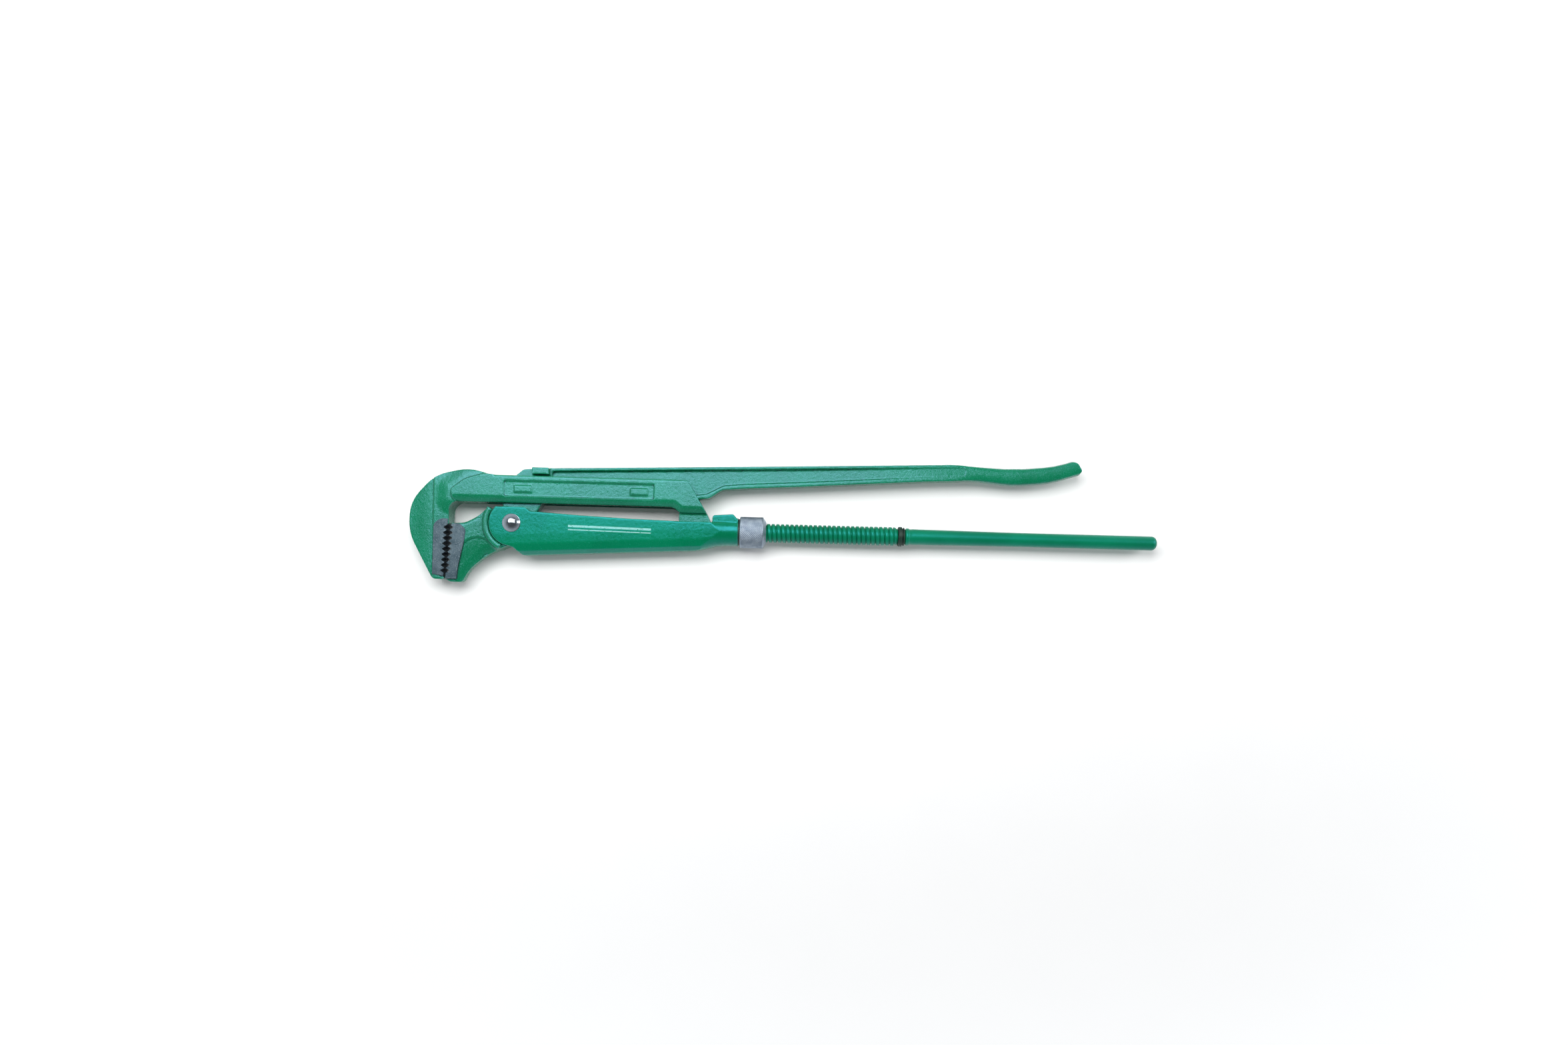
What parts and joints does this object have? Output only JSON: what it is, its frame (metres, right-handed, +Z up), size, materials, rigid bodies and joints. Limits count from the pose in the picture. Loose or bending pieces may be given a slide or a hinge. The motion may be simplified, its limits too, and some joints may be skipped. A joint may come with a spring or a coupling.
{
  "type": "pipe wrench",
  "caption": "Forged pipe wrench with a screw-adjusted sliding hook jaw, a pivoting lever jaw and long slim handles.",
  "frame": {"origin": "bottom centre of the tool's box, lying flat on its side with the jaws closed", "axes": "+X along the rod towards the handle's tip, +Y across towards the lever handle, +Z up through the thickness"},
  "size_m": [0.6384, 0.117, 0.0297],
  "materials": {
    "green_enamel": "hammered gloss enamel over forged steel",
    "green_gloss": "smooth gloss enamel",
    "ground_steel": "ground and hardened",
    "plated_steel": "dull nickel plate over a knurl",
    "bright_chrome": "polished",
    "black_steel": "blackened"
  },
  "bodies": {
    "housing": {"housing": "green_enamel", "pivot_rivet": "bright_chrome", "nut_retaining_screw": "black_steel", "thrust_washer": "black_steel"},
    "lever": {"lever": "green_enamel"},
    "hook_jaw": {"hook_jaw": "green_enamel", "threaded_rod": "green_gloss", "rod_cross_pin": "ground_steel", "thread_stop_ring": "black_steel", "rod_handle": "green_gloss"},
    "nut": {"adjusting_nut": "plated_steel"}
  },
  "joints": [
    {"name": "lever_pivot", "type": "hinge", "parent": "housing", "child": "lever", "pos_m": [-0.23031, -0.0075, 0.0135], "axis": [0, 0, 1], "range_deg": [0, 14]},
    {"name": "jaw_slide", "type": "slide", "parent": "housing", "child": "hook_jaw", "axis": [-1, 0, 0], "range_m": [0, 0.11]},
    {"name": "nut_spin", "type": "hinge", "parent": "housing", "child": "nut", "pos_m": [-0.02631, -0.0095, 0.0135], "axis": [1, 0, 0], "range_deg": [0, 9902]}
  ],
  "couplings": [
    {"joint": "nut_spin", "follows": "jaw_slide", "rad_per_m": 1570.8}
  ]
}
